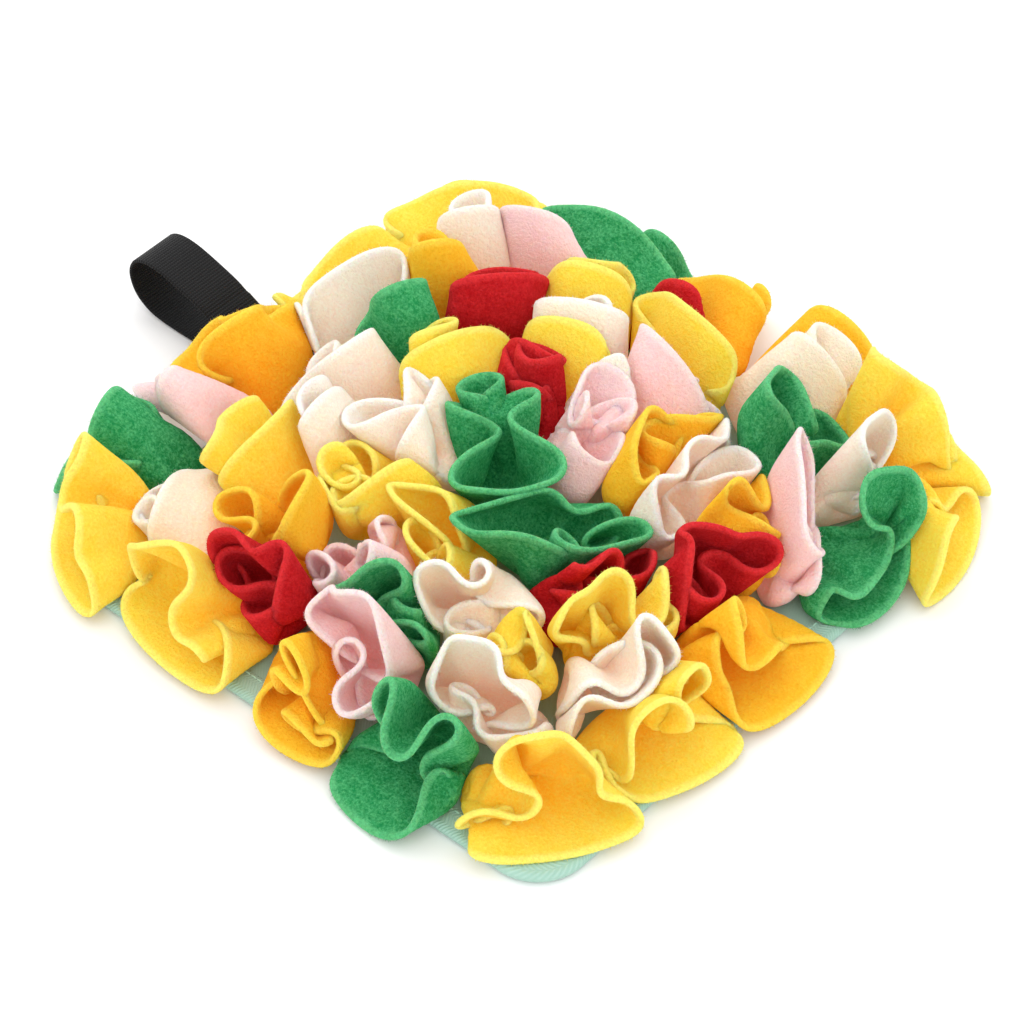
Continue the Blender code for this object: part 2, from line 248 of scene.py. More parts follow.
# %% [markdown]
# ## Step 1: a cup on each stitch
# A cup is a cone with an elliptical mouth. Directions from the stitch are angles about the
# leaning axis, and every point keeps its own distance from the stitch, so the cloth is never
# stretched along its radii. All circles are worked out together: the arrays have the circle
# first, then the ring, then the place round the ring.

# %% Step 1: a cup on each stitch
CORE = 0.5  # how far up its axis a circle's core runs, as a share of the radius
SHIFT = 0.6  # how much cloth moves from the calm side to the ruffled side
CURL = 75.0  # how far the corners of a calm circle curl back, in degrees
SWIRL = 0.35  # how far the creases swing to and fro across the rim, in radians
STITCH_LIFT = 1.2  # height of the middle of the cloth over the panel at its stitch
FALL = (3.0, 14.0)  # where the ground starts to fall beyond the panel, and over what width
WEB_FROM, BESIDE_WEB = -120.0, (4.0, 10.0)  # x where the webbing starts; the fall beside it
WEB_RISE = ([122, 138, 147, 159, 171, 187, 211], [10, 10, 11, 14, 19, 27, 34])  # -x, height
SOFT_FLOOR = 6.0  # height above which the ground lifts nothing

kind_rows = np.array([KINDS[row[1]] for row in CIRCLES])
deep, dent, calm, flare, droop = (kind_rows[:, i, None, None] for i in range(5))
numbers = np.array([row[2:] for row in CIRCLES], float)
stitch = np.column_stack([numbers[:, :2], np.full(len(CIRCLES), PANEL_TOP + GAP + STITCH_LIFT)])
turn, lean, wide, folds, phase = (numbers[:, i, None, None] for i in range(2, 7))
turn, lean, phase = np.radians(turn), np.radians(lean), np.radians(phase)
outward = np.concatenate([np.cos(turn), np.sin(turn), 0 * turn], axis=-1)[:, 0]
up = np.array([0.0, 0.0, 1.0])
axis = np.cos(lean)[:, 0] * up + np.sin(lean)[:, 0] * outward
across = np.stack([outward[:, 1], -outward[:, 0], 0 * outward[:, 0]], axis=-1)
down = np.cos(lean)[:, 0] * outward - np.sin(lean)[:, 0] * up


def stand(share, t):
    """Every circle as an open cup: a = wide cos t, b = deep sin t are angles about the axis,
    flare opens them towards the rim and droop bends the outer side over; the point is
    stitch + share * RADIUS * (cos h axis + sin h (a across + b down) / h), h = |(a, b)|."""
    share = share[None, :, None]
    a = np.radians(wide * np.cos(t) * (1 + flare * share ** 2))
    b = np.radians(deep * np.sin(t) * (1 + flare * share ** 2)
                   + droop * share ** 2 * (0.5 + 0.5 * np.sin(t))
                   + CURL * np.maximum(calm, 0) * share ** 2 * np.cos(t) ** 2)
    h = (np.hypot(a, b) + 1e-9)[..., None]
    way = (np.cos(h) * axis[:, None, None] + np.sin(h) / h
           * (a[..., None] * across[:, None, None] + b[..., None] * down[:, None, None]))
    return stitch[:, None, None] + RADIUS * share[..., None] * way


def ground(x, y):
    """Height the cloth rests on: the panel, falling away beyond its edge, and the webbing."""
    outside = np.maximum(np.abs(x), np.abs(y)) - HALF
    level = PANEL_TOP * (1 - smooth((outside - FALL[0]) / FALL[1]))
    over = np.interp(-x, *WEB_RISE)
    beside = smooth((np.abs(y - WEB_Y) - WEB_WIDTH / 2 - BESIDE_WEB[0]) / BESIDE_WEB[1])
    return np.maximum(level, np.where(x < WEB_FROM, over * (1 - beside), 0))


def settle(points):
    """Lift the cloth that would sink: z -> floor + softplus(z - floor)."""
    floor = ground(points[..., 0], points[..., 1]) + GAP
    height = points[..., 2] - floor
    lifted = points.copy()
    soft = np.log1p(np.exp(np.minimum(height, SOFT_FLOOR)))
    lifted[..., 2] = floor + np.where(height > SOFT_FLOOR, height, soft)
    return lifted

# %% [markdown]
# ## Step 2: parting planes
# Two circles that press on each other meet about midway, like soap bubbles. For each pair the
# plane that best tells their two clouds of points apart (a linear discriminant) is moved to run
# midway between the tips of their cores, and tipped a little, so that the circle nearer the
# middle lies over its neighbour. A cup behind all its planes meets its neighbours only as deep
# as their piles press into each other.

# %% Step 2: parting planes
CLEAR = -0.4  # half the space between neighbours; below 0 their piles press together
OVERLAP = 0.8  # how far the planes tip, so that one circle lies over the next
FAN_OVERLAP = 0.35  # the same between two fans, which stand side by side
SKIRT_OVERLAP = 0.65  # and beside a skirt, which keeps its full length
PULL = 8.0  # how sharply a circle flattens against its neighbours
CORE_ROOM = 1.0  # least room between a core and a plane, besides the cloth's own
BLUR = 4.0  # added to the spread of a cloud, square mm
CLOUD = (8, 48)  # rings and points round, when two circles are told apart
LEAST_ROOM = 0.3  # nearest that a plane counts as to a core
FAR_AWAY = 1e4  # offset of the planes that only fill up the array
GROW = (0.1, 0.5, 0.8)  # ruffles: from what share of the radius, over what share, what power


def parting_plane(i, j):
    """The plane between circles i and j as (normal, offset): n = (C1 + C2)^-1 (m2 - m1), tipped
    by the overlap and turned back towards upright until both cores stand clear of it."""
    spread = np.cov(clouds[i].T) + np.cov(clouds[j].T) + BLUR * np.eye(3)
    best = unit(np.linalg.solve(spread, clouds[j].mean(0) - clouds[i].mean(0)))
    along = unit(axis[i] + axis[j])
    apart = cores[j].mean(0) - cores[i].mean(0)
    plain = unit(apart - (apart @ along) * along)
    over = -1.0 if np.hypot(*stitch[i, :2]) < np.hypot(*stitch[j, :2]) else 1.0
    kinds = {CIRCLES[i][1], CIRCLES[j][1]}
    tip = FAN_OVERLAP if kinds == {"fan"} else SKIRT_OVERLAP if "skirt" in kinds else OVERLAP
    clear = CLEAR + FLEECE + CORE_ROOM
    middle = 0.5 * (cores[i][-1] + cores[j][-1])
    for amount in (1.0, 0.75, 0.5, 0.25, 0.0):
        normal = unit(amount * best + (1 - amount) * plain)
        normal = unit(normal + amount * over * tip * along)
        near, far = (cores[i] @ normal).max(), (cores[j] @ normal).min()
        if far - near > 2 * clear:
            break
    margin = min(clear, 0.5 * (far - near))
    return normal, float(np.clip(middle @ normal, near + margin, far - margin))


t = whole_turn(CLOUD[1])[None, None]
clouds = settle(stand(np.linspace(0.1, 1, CLOUD[0]), t)).reshape(len(CIRCLES), -1, 3)
cores = stitch[:, None] + np.linspace(0, CORE * RADIUS, 5)[None, :, None] * axis[:, None]
planes = [[] for _ in CIRCLES]
for i in range(len(CIRCLES)):
    for j in range(i + 1, len(CIRCLES)):
        if np.linalg.norm(clouds[i].mean(0) - clouds[j].mean(0)) < 2 * RADIUS:
            normal, offset = parting_plane(i, j)
            planes[i].append((*normal, offset))
            planes[j].append((*-normal, -offset))
most = max(map(len, planes))
filler = (0.0, 0.0, 1.0, FAR_AWAY)
planes = np.array([rows + [filler] * (most - len(rows)) for rows in planes])
print("at most", most, "planes round one circle")


def core_line(share):
    """Points up the leaning axis that the cloth of each ring stands round."""
    height = (CORE * share * RADIUS)[None, :, None, None]
    return stitch[:, None, None] + height * axis[:, None, None]


def press(points, core):
    """p -> core + (p - core) / (1 + sum q^n)^(1/n), q the share of the way to each plane."""
    out = points - core
    ahead = np.einsum("prtc,pmc->prtm", out, planes[..., :3])
    room = planes[:, None, None, :, 3] - CLEAR - np.einsum("prtc,pmc->prtm", core, planes[..., :3])
    total = ((np.maximum(ahead, 0) / np.maximum(room, LEAST_ROOM)) ** PULL).sum(-1, keepdims=True)
    return core + out / (1 + total) ** (1 / PULL)


def ruffle(share, phi):
    """How far the cup is drawn in: 1 on the lobes, 1 - dent in the creases, which swing to and
    fro so that they run in soft S-curves towards the rim. The calm side, upper where calm is
    above 0 and lower where it is below, has almost none."""
    grow = np.clip((share[None, :, None] - GROW[0]) / GROW[1], 0, 1) ** GROW[2]
    quiet = 1 - np.abs(calm) * (0.5 - 0.5 * np.sign(calm) * np.sin(phi)) ** 0.5
    swung = folds * (phi + SWIRL * share[None, :, None] * np.sin(2 * phi + 3 * phase)) + phase
    return 1 - dent * quiet * grow * (0.5 - 0.5 * np.cos(swung))


def start(share, around):
    """The pressed and ruffled cups on a grid of rings. The cloth's own angle phi runs evenly
    round the rim; the cup's angle t = phi + SHIFT calm cos phi hurries past the calm side, so
    that side gets little cloth and stays smooth, and the other side gets the ruffles."""
    phi = whole_turn(around)[None, None]
    t = phi + SHIFT * calm * np.cos(phi)
    core = core_line(share)
    pressed = press(settle(stand(share, t)), core)
    return core + (pressed - core) * ruffle(share, phi)[..., None]

# %% [markdown]
# ## Step 3: let the cloth out
# The pressed cups are too short round the rim, for a disc of 50 mm radius has a rim of 314 mm.
# Blender's cloth simulation could find where the rest goes, but sixty discs that touch are slow
# and hard to steer with it. Position-based dynamics does the same work in a few lines: every
# pass moves the points a little, so that each thread gets back its own length, the cloth resists
# sharp bends, and nothing passes its planes, the panel or itself.
#
# The lengths come first. Soft, thick cloth makes a few broad folds and not many small ones. A
# coarse net can't hold small folds at all, so the cloth settles on a coarse net first, and twice
# on a finer one.

# %% Step 3: the threads' lengths
#         rings, points round, passes, least share of the straight distance over two steps
NETS = [(5, 20, 160, 0.78), (9, 40, 90, 0.86), (17, 80, 50, 0.93)]
RING, SPOKE, SLANT = 0.9, 0.9, 0.4  # how much of a missing length each pass gives back
RING_BEND, SPOKE_BEND = 0.8, 0.5  # the same over two steps
SPOKE_LEAST = 0.98  # least share of the straight distance over two steps of a spoke
INNERMOST = 0.08  # share of the radius of the innermost ring
CALM_DOWN = 0.45  # share of the summed moves that is made


def finer(x, axis, wraps):
    """Twice the points along an axis: between b and c goes (9(b + c) - (a + d)) / 16."""
    x = np.moveaxis(x, axis, 0)
    ends = (x[-1:], x[:2]) if wraps else (2 * x[:1] - x[1:2], 2 * x[-1:] - x[-2:-1])
    row = np.concatenate([ends[0], x, ends[1]])
    a, b, c, d = (row[k:len(row) - 3 + k] for k in range(4))
    between = (9 * (b + c) - (a + d)) / 16
    mixed = np.stack([x[:len(between)], between], 1).reshape(-1, *x.shape[1:])
    return np.moveaxis(mixed if wraps else np.concatenate([mixed, x[-1:]]), 0, axis)


def pull(a, b, length, give, only_longer=False):
    """The move that brings b - a to its length, halved between the two ends."""
    gap = b - a
    miss = 1 - length[..., None] / np.maximum(size(gap), 1e-6)
    if only_longer:
        miss = np.minimum(miss, 0)
    return 0.5 * give * miss * gap


def threads(x, ring_step, spoke_step, slant_step, least):
    """One pass of the lengths: round the rings, along the spokes, on both slants, and, only
    where the cloth bends too sharply, between points two steps apart."""
    move = np.zeros_like(x)
    for k, length, give, only_longer in ((1, ring_step, RING, False),
                                         (2, 2 * least * ring_step, RING_BEND, True)):
        step = pull(x, np.roll(x, -k, axis=2), length, give, only_longer)
        move += step - np.roll(step, k, axis=2)
    for down, k, length, give, only_longer in (
            (1, 0, spoke_step, SPOKE, False),
            (2, 0, 2 * SPOKE_LEAST * spoke_step, SPOKE_BEND, True),
            (1, 1, slant_step, SLANT, False), (1, -1, slant_step, SLANT, False)):
        step = pull(x[:, :-down], np.roll(x, -k, axis=2)[:, down:], length, give, only_longer)
        move[:, :-down] += step
        move[:, down:] -= np.roll(step, k, axis=2)
    return move * CALM_DOWN

# %% [markdown]
# The cloth stops at its planes, at the panel and at itself. Two layers of one circle that come
# too close are moved apart, and where a ruffle has slipped through the smooth side of its
# circle, it is moved back inside.

# %% What the cloth can't pass
WALL = FLEECE / 2 + CLEAR
TALLEST = 63.5  # height that no rim passes, mm
KEEP_APART = 3.2  # least distance between two layers of one circle, middle to middle, mm
NEAR, SAME = 1.5, 2.5  # in KEEP_APARTs: layers that may touch, and points of the same layer
CALM_FROM = 0.5  # calm from which a circle counts as smooth on one side
SIDES = (0.3, 0.47)  # ruffled below, smooth above, as sines round the rim
PUSH, PUSH_MOST, PUSH_REACH = 0.7, 1.5, 7.0  # how a layer that came through is moved back


def keep_behind(x):
    """Push points back that have passed a parting plane, plane by plane, and off the ground."""
    for m in range(planes.shape[1]):
        normal, offset = planes[:, None, None, m, :3], planes[:, None, None, m, 3]
        over = np.maximum((x * normal).sum(-1) - (offset - WALL), 0)
        x = x - over[..., None] * normal
    low = ground(x[..., 0], x[..., 1]) + GAP + FLEECE / 2
    x[..., 2] = np.clip(x[..., 2], low, TALLEST)
    return x


def touches(x, share):
    """Pairs of points of one circle that lie closer than KEEP_APART though the cloth between
    them is longer, found from the squared distances |a|^2 + |b|^2 - 2ab of all pairs."""
    flat = flat_disc(share, x.shape[2])
    apart = ((flat[:, None] - flat[None]) ** 2).sum(-1) > (SAME * KEEP_APART) ** 2
    apart &= np.triu(np.ones(apart.shape, bool))
    first, second = [], []
    for c, cloth in enumerate(x.reshape(len(x), -1, 3).astype(np.float32)):
        cloth = cloth - cloth.mean(0)
        square = (cloth ** 2).sum(-1)
        near = (square[:, None] + square - 2 * cloth @ cloth.T < (NEAR * KEEP_APART) ** 2) & apart
        a, b = np.nonzero(near)
        first.append(a + c * len(cloth))
        second.append(b + c * len(cloth))
    return np.concatenate(first), np.concatenate(second)


def part_layers(x, pairs):
    """Move the two points of each touching pair apart, each by half of what is missing."""
    flat = x.reshape(-1, 3)
    a, b = pairs
    gap = flat[b] - flat[a]
    far = np.maximum(size(gap), 1e-6)
    step = 0.5 * np.maximum(KEEP_APART - far, 0) * gap / far
    n = len(flat)
    move = np.stack([np.bincount(b, step[:, c], n) - np.bincount(a, step[:, c], n)
                     for c in range(3)], axis=-1)
    count = np.bincount(a, minlength=n) + np.bincount(b, minlength=n)
    return x + (move / np.sqrt(np.maximum(count, 1))[:, None]).reshape(x.shape)


def wrap_normals(x):
    """Unit normals of discs, out of the cup: the way round crossed with the way to the rim."""
    around = np.roll(x, -1, axis=2) - np.roll(x, 1, axis=2)
    return unit(np.cross(around, np.gradient(x, axis=1)))


def facing(x):
    """For each point on the ruffled side of a circle, the nearest point of its smooth side."""
    phi, cloth = whole_turn(x.shape[2]), x.reshape(-1, 3)
    ruffled, smooth_side = [], []
    for c in np.flatnonzero(np.abs(calm[:, 0, 0]) > CALM_FROM):
        side = -np.sign(calm[c, 0, 0]) * np.sin(phi) + 0 * x[c, :, :, 0]
        mine = np.arange(side.size) + c * side.size
        a, b = mine[side.ravel() < SIDES[0]], mine[side.ravel() > SIDES[1]]
        far = ((cloth[a][:, None] - cloth[b][None]) ** 2).sum(-1)
        ruffled.append(a)
        smooth_side.append(b[far.argmin(1)])
    return np.concatenate(ruffled), np.concatenate(smooth_side)


def hold_inside(x, pairs):
    """Move the ruffled points that have come through their smooth side back to its inside."""
    flat, (a, b) = x.reshape(-1, 3).copy(), pairs
    inwards = -wrap_normals(x).reshape(-1, 3)[b]
    gap = flat[a] - flat[b]
    deep = (gap * inwards).sum(-1, keepdims=True)
    beside = size(gap - deep * inwards)
    step = np.clip(KEEP_APART - deep, 0, PUSH_MOST) * (beside < PUSH_REACH)
    flat[a] += PUSH * step * inwards
    return flat.reshape(x.shape)

# %% [markdown]
# Fleece is springy, so its lobes stand out full and round while the creases between them stay
# deep. Each pass therefore blows the lobes out a little.

# %% Let the cloth out
TOUCH_EVERY = 10  # passes between two looks for layers that touch
PUFF = 0.22  # how far the lobes are blown outwards in each pass, mm
DRAWN_IN = -0.6  # most that a crease is drawn in, as a share of PUFF
HOLD = 0.01  # share of the way back to the start in each pass


def plump(x, core, share):
    """Blow the lobes outwards and draw the creases in, by PUFF * (2 q - 1), where q is how far
    out a point is beside the farthest of its ring."""
    out = x - core
    far = size(out)
    q = far / far.max(axis=2, keepdims=True)
    return PUFF * share[:, None, None] * np.clip(2.0 * q - 1.0, DRAWN_IN, 1) * out / far


def let_out():
    """Settle the cloth on each net in turn. The innermost ring stays at the stitch."""
    x = None
    for rings, around, passes, least in NETS:
        share = np.linspace(INNERMOST, 1, rings)
        ring_step = (2 * np.pi * share * RADIUS / around)[None, :, None]
        spoke_step = np.full((1, 1, 1), (share[1] - share[0]) * RADIUS)
        slant_step = np.hypot(spoke_step, 0.5 * (ring_step[:, 1:] + ring_step[:, :-1]))
        x = start(share, around) if x is None else finer(finer(x, 2, True), 1, False)
        goal, core = x.copy(), core_line(share)
        for number in range(passes):
            x = x + threads(x, ring_step, spoke_step, slant_step, least) + HOLD * (goal - x)
            x = x + plump(x, core, share)
            if number % TOUCH_EVERY == 0:
                pairs, sides = touches(x, share), facing(x)
            x = keep_behind(hold_inside(part_layers(x, pairs), sides))
            x[:, 0] = goal[:, 0]
        length = np.linalg.norm(np.roll(x, -1, 2) - x, axis=-1).sum(-1)[:, -1]
        print("net", (rings, around), "rims", np.round([length.min(), length.mean()]), "mm of",
              round(2 * np.pi * RADIUS), "touching", len(pairs[0]))
    return x, share


settled, share = let_out()

# %% [markdown]
# ## A short hand for materials
# A material is a small sum worked out at each point of a surface. A wire wraps one socket, and
# adding or multiplying wires puts the Math nodes in. Colours go through Mix nodes, because a
# Math node would turn them grey.


# %% A short hand for materials
class Wire:
    """One output socket in a material, with the sums that can be done to it."""

    def __init__(self, dye, socket):
        self.dye, self.socket = dye, socket

    def sum(self, operation, other=None, other_first=False, clamp=False):
        values = [self] if other is None else [other, self] if other_first else [self, other]
        return self.dye.node("ShaderNodeMath", dict(operation=operation, use_clamp=clamp),
                             dict(enumerate(values)))

    def __add__(self, other): return self.sum("ADD", other)
    def __radd__(self, other): return self.sum("ADD", other, True)
    def __sub__(self, other): return self.sum("SUBTRACT", other)
    def __rsub__(self, other): return self.sum("SUBTRACT", other, True)
    def __mul__(self, other): return self.sum("MULTIPLY", other)
    def __rmul__(self, other): return self.sum("MULTIPLY", other, True)
    def __pow__(self, other): return self.sum("POWER", other)
    def within(self): return self.sum("ADD", 0.0, clamp=True)


class Dye:
    """A material and the nodes that go into its Principled shader."""

    def __init__(self, name, **constants):
        self.material = bpy.data.materials.new(name)
        self.material.use_nodes = True
        self.nodes, self.links = self.material.node_tree.nodes, self.material.node_tree.links
        self.shader = self.nodes["Principled BSDF"]
        self.feed(self.shader, constants)

    def feed(self, node, values):
        """Put each value on its socket: a wire is linked, anything else is set."""
        for key, value in values.items():
            socket = node.inputs[key.replace("_", " ") if isinstance(key, str) else key]
            if isinstance(value, Wire):
                self.links.new(value.socket, socket)
            elif hasattr(value, "__len__") and len(value) == 3 and socket.type == "RGBA":
                socket.default_value = (*value, 1.0)
            else:
                socket.default_value = value

    def node(self, kind, settings=None, values=None, output=0):
        """A node of this kind, its settings first, then its sockets; returns one output."""
        node = self.nodes.new(kind)
        for key, value in (settings or {}).items():
            setattr(node, key, value)
        self.feed(node, values or {})
        return Wire(self, node.outputs[output])

    def place(self):
        """The point's place on the object, in metres."""
        return self.node("ShaderNodeTexCoord", output="Object")

    def split(self, place):
        """The first two numbers of a place, as two wires."""
        node = self.node("ShaderNodeSeparateXYZ", None, dict(Vector=place)).socket.node
        return Wire(self, node.outputs["X"]), Wire(self, node.outputs["Y"])

    def mix(self, factor, one, two, blend="MIX"):
        """A colour part of the way from one to two."""
        return self.node("ShaderNodeMix", dict(data_type="RGBA", blend_type=blend),
                         {0: factor, 6: one, 7: two}, output=2)

    def noise(self, place, scale, detail=2.0, roughness=0.5):
        """Cloudy numbers near a half; scale is in clouds a metre."""
        return self.node("ShaderNodeTexNoise", None, dict(Vector=place, Scale=scale,
                         Detail=detail, Roughness=roughness))

    def bump(self, height, distance):
        """A normal tilted by a height; distance is in metres for a height of 1."""
        return self.node("ShaderNodeBump", None, dict(Height=height, Distance=distance,
                                                      Strength=1.0))

    def finish(self, **sockets):
        self.feed(self.shader, sockets)
        return self.material

# %% [markdown]
# ## Fleece
# Fleece is a knit brushed until its loops stand as a short, matt pile. Four things tell it
# from plain cloth. The pile lies this way and that, so the colour is mottled every few
# millimetres. It glows pale where it is seen edge on, which is what sheen is for. The cut edge
# is painted paler, towards the colour of the pile lit from the side: a painted highlight along
# the rim. And light passes from fold to fold, so a circle's shade grows deeper and warmer
# towards its stitch and in its folds: yellow turns orange and white turns peach. This warm shade
# is painted into the colour, and a faint painted glow in the same places stands in for the light
# that comes through the cloth.

# %% Fleece
#                     body colour              pile lit from the side      painted fold shade     mottled
FLEECE_DYES_AND_PAINTED_SHADE = {
    "yellow": ((0.975, 0.700, 0.040), (0.990, 0.830, 0.180), (0.980, 0.440, 0.006), 0.28),
    "golden": ((0.945, 0.490, 0.012), (0.970, 0.650, 0.070), (0.920, 0.270, 0.003), 0.32),
    "green":  ((0.018, 0.290, 0.085), (0.120, 0.500, 0.210), (0.006, 0.160, 0.042), 0.75),
    "red":    ((0.480, 0.005, 0.009), (0.640, 0.030, 0.036), (0.270, 0.002, 0.004), 0.50),
    "pink":   ((0.930, 0.630, 0.640), (0.970, 0.760, 0.750), (0.900, 0.400, 0.360), 0.24),
    "white":  ((0.950, 0.830, 0.690), (0.970, 0.920, 0.850), (0.940, 0.560, 0.370), 0.20),
    "cream":  ((0.950, 0.800, 0.640), (0.970, 0.900, 0.800), (0.940, 0.550, 0.340), 0.20),
}
PAINTED_GLOW = 0.18  # painted glow: emission in the folds, standing in for light through the cloth from its far side
THROUGH, DEPTH = 0.5, 0.004  # share of the light that enters the pile, and how deep, m
CLOUDS, HAIRS, LUMPS = 170.0, 800.0, 420.0  # patches of each kind in a metre


def fleece_cloth(colour):
    """Body colour with painted warm shade towards the stitch and in the folds, mixed with the lit
    pile by two scales of noise and, as a painted highlight, at the cut edge; a painted glow in
    the folds; two scales of bump for the pile."""
    body, pile, painted_fold_shade, mottle = FLEECE_DYES_AND_PAINTED_SHADE[colour]
    dye = Dye("fleece_" + colour, Roughness=0.95, Specular_IOR_Level=0.1,
              Sheen_Weight=0.15, Sheen_Roughness=0.5, Emission_Strength=PAINTED_GLOW,
              Subsurface_Weight=THROUGH, Subsurface_Radius=(1.0, 0.45, 0.2),
              Subsurface_Scale=DEPTH)
    dye.feed(dye.shader, {"Sheen Tint": pile})
    place = dye.place()
    cloudy = dye.noise(place, CLOUDS, 4.0, 0.65)
    fine = dye.noise(place, HAIRS, 3.0, 0.75)
    edge, fold = (dye.node("ShaderNodeAttribute", dict(attribute_name=name), output="Fac")
                  for name in ("edge", "fold"))
    nap = (cloudy - 0.5) * (1.7 * mottle) + (fine - 0.5) * (2.6 * mottle) + 0.26
    # painted highlight: the cut edge is mixed towards the lit pile colour
    cut = ((edge - 0.95) * 24.0).within() * 0.65
    # painted shade: strongest towards the stitch and in the folds, where shade falls
    inside = (((0.95 - edge) * 1.2).within() + fold * 0.55).within() * 0.85
    body_with_painted_shade = dye.mix(inside, body, painted_fold_shade)
    grain = (fine - 0.5) * (0.25 + 0.7 * mottle) + 1.03
    colour_out = dye.mix(1.0, dye.mix((nap + cut).within(), body_with_painted_shade, pile), grain, "MULTIPLY")
    lumps = dye.noise(place, LUMPS, 3.0, 0.6)
    pile_bump = dye.bump(fine + lumps * 0.7, 0.0013)
    # painted glow: emission of the painted fold shade colour in the same places
    painted_glow = dye.mix(inside, (0.0, 0.0, 0.0), painted_fold_shade)
    return dye.finish(Base_Color=colour_out, Normal=pile_bump, Emission_Color=painted_glow)


FLEECE_CLOTH = {colour: fleece_cloth(colour) for colour in FLEECE_DYES_AND_PAINTED_SHADE}
print("fleece in", ", ".join(FLEECE_CLOTH))

# %% [markdown]
# ## From a sheet to fleece
# The settled points are the middle of the cloth. Twice as many points are worked out round each
# ring with the same four-point rule, which draws smooth curves through the old points. The
# cloth then gets its thickness along its own normals, with a round rim, for scissors leave a
# soft, swollen edge on fleece.

# %% From a sheet to fleece
RIM_STEPS = 4  # rows of points round the cut edge
SOFTER = 3  # rounds of smoothing, which leave no bend sharper than the fleece allows
SWELL = 0.05  # how much thicker the cut edge is than the cloth
SWELLS = (0.9, 0.1)  # from what share of the radius the edge swells, and over what share
UV_APART = 211.0  # how far apart two circles lie on the cloth map, mm


for _ in range(SOFTER):
    settled += 0.25 * (np.roll(settled, 1, 2) + np.roll(settled, -1, 2) - 2 * settled)
    settled[:, 1:-1] += 0.15 * (settled[:, :-2] + settled[:, 2:] - 2 * settled[:, 1:-1])
fine = finer(settled, 2, True)
fine_share = np.linspace(share[0], 1, fine.shape[1])
normal = wrap_normals(fine)
for _ in range(2):
    normal = unit(normal + 0.5 * (np.roll(normal, 1, 2) + np.roll(normal, -1, 2)))
rim_way = unit(fine[:, -1] - fine[:, -2])
# how far each point is drawn in towards its core: the mask of the painted fold shade
reach = np.linalg.norm(fine - core_line(fine_share), axis=-1)
folded = np.clip(1.1 - reach / reach.max(axis=2, keepdims=True), 0, 1)


def skin(c):
    """The closed skin of circle c: outer face out to the rim, round it, and the inner face back.
    Returns the points, ring by ring, each ring's share of the radius and how far each point is
    folded in."""
    swell = SWELL * smooth((fine_share - SWELLS[0]) / SWELLS[1])
    half = FLEECE / 2 * (1 + swell)[:, None, None]
    outer, inner = fine[c] + half * normal[c], fine[c] - half * normal[c]
    bend = np.linspace(0, np.pi, RIM_STEPS + 2)[1:-1, None, None]
    edge = fine[c, -1] + half[-1] * (np.cos(bend) * normal[c, -1] + np.sin(bend) * rim_way[c])
    rows = np.concatenate([outer, edge, inner[::-1]])
    shares = np.concatenate([fine_share, np.ones(RIM_STEPS), fine_share[::-1]])
    rim_fold = np.repeat(folded[c, -1:], RIM_STEPS, axis=0)
    return rows, shares, np.concatenate([folded[c], rim_fold, folded[c, ::-1]])


def make_circle(c):
    """One fleece circle, closed over its stitch with a point on each face."""
    name, colour = "petal_" + CIRCLES[c][0], CIRCLES[c][0].split("_")[0]
    rows, shares, fold = skin(c)
    count, columns = rows.shape[:2]
    tips = np.stack([rows[0].mean(0), rows[-1].mean(0)])
    points = np.vstack([rows.reshape(-1, 3), tips])
    faces = grid_faces(count, columns).tolist()
    last, first = (count - 1) * columns, count * columns
    for k in range(columns):
        j = (k + 1) % columns
        faces += [(j, k, first), (last + k, last + j, first + 1)]
    uv = np.vstack([flat_disc(shares, columns), [[0, 0], [0, 0]]]) + UV_APART * c
    edge = np.append(np.repeat(shares, columns), [0, 0])
    # edge and fold feed the painted rim highlight and the painted fold shade of the fleece
    piece = make_piece(name + "_fleece", points, faces, FLEECE_CLOTH[colour], uv, edge=edge,
                       fold=np.append(fold.ravel(), [1, 1]))
    if CIRCLES[c][0] in ADDED:
        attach(piece, "root")
    else:
        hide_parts(name)
    "fleece_" + colour
    return piece


petals = [make_circle(c) for c in range(len(CIRCLES))]
print(len(petals), "circles of", len(petals[0].data.polygons), "faces")

# %% [markdown]
# ## Fuzz on the cut edges
# Scissors leave loose fibres all along a cut edge of fleece, and they make its outline soft.
# Each fibre is one slender triangle that stands on the round rim, leaning at random. The fibres
# of one colour are one piece.

# %% Fuzz on the cut edges
FIBRES = 1200  # on each circle
FIBRE_LENGTH = (0.6, 1.7)
FIBRE_WIDTH = 0.2
ASTRAY = 0.55  # how far a fibre leans at random
ROOTED = 0.96  # how far out on the rim it stands
ROUND_RIM = (-0.25, 1.25)  # where on the rim, in half turns from the outer face to the inner
# the fibres read the colour near the rim, so they carry part of its painted highlight
FUZZ_EDGE = 0.98  # how far out on the circle its colour is read


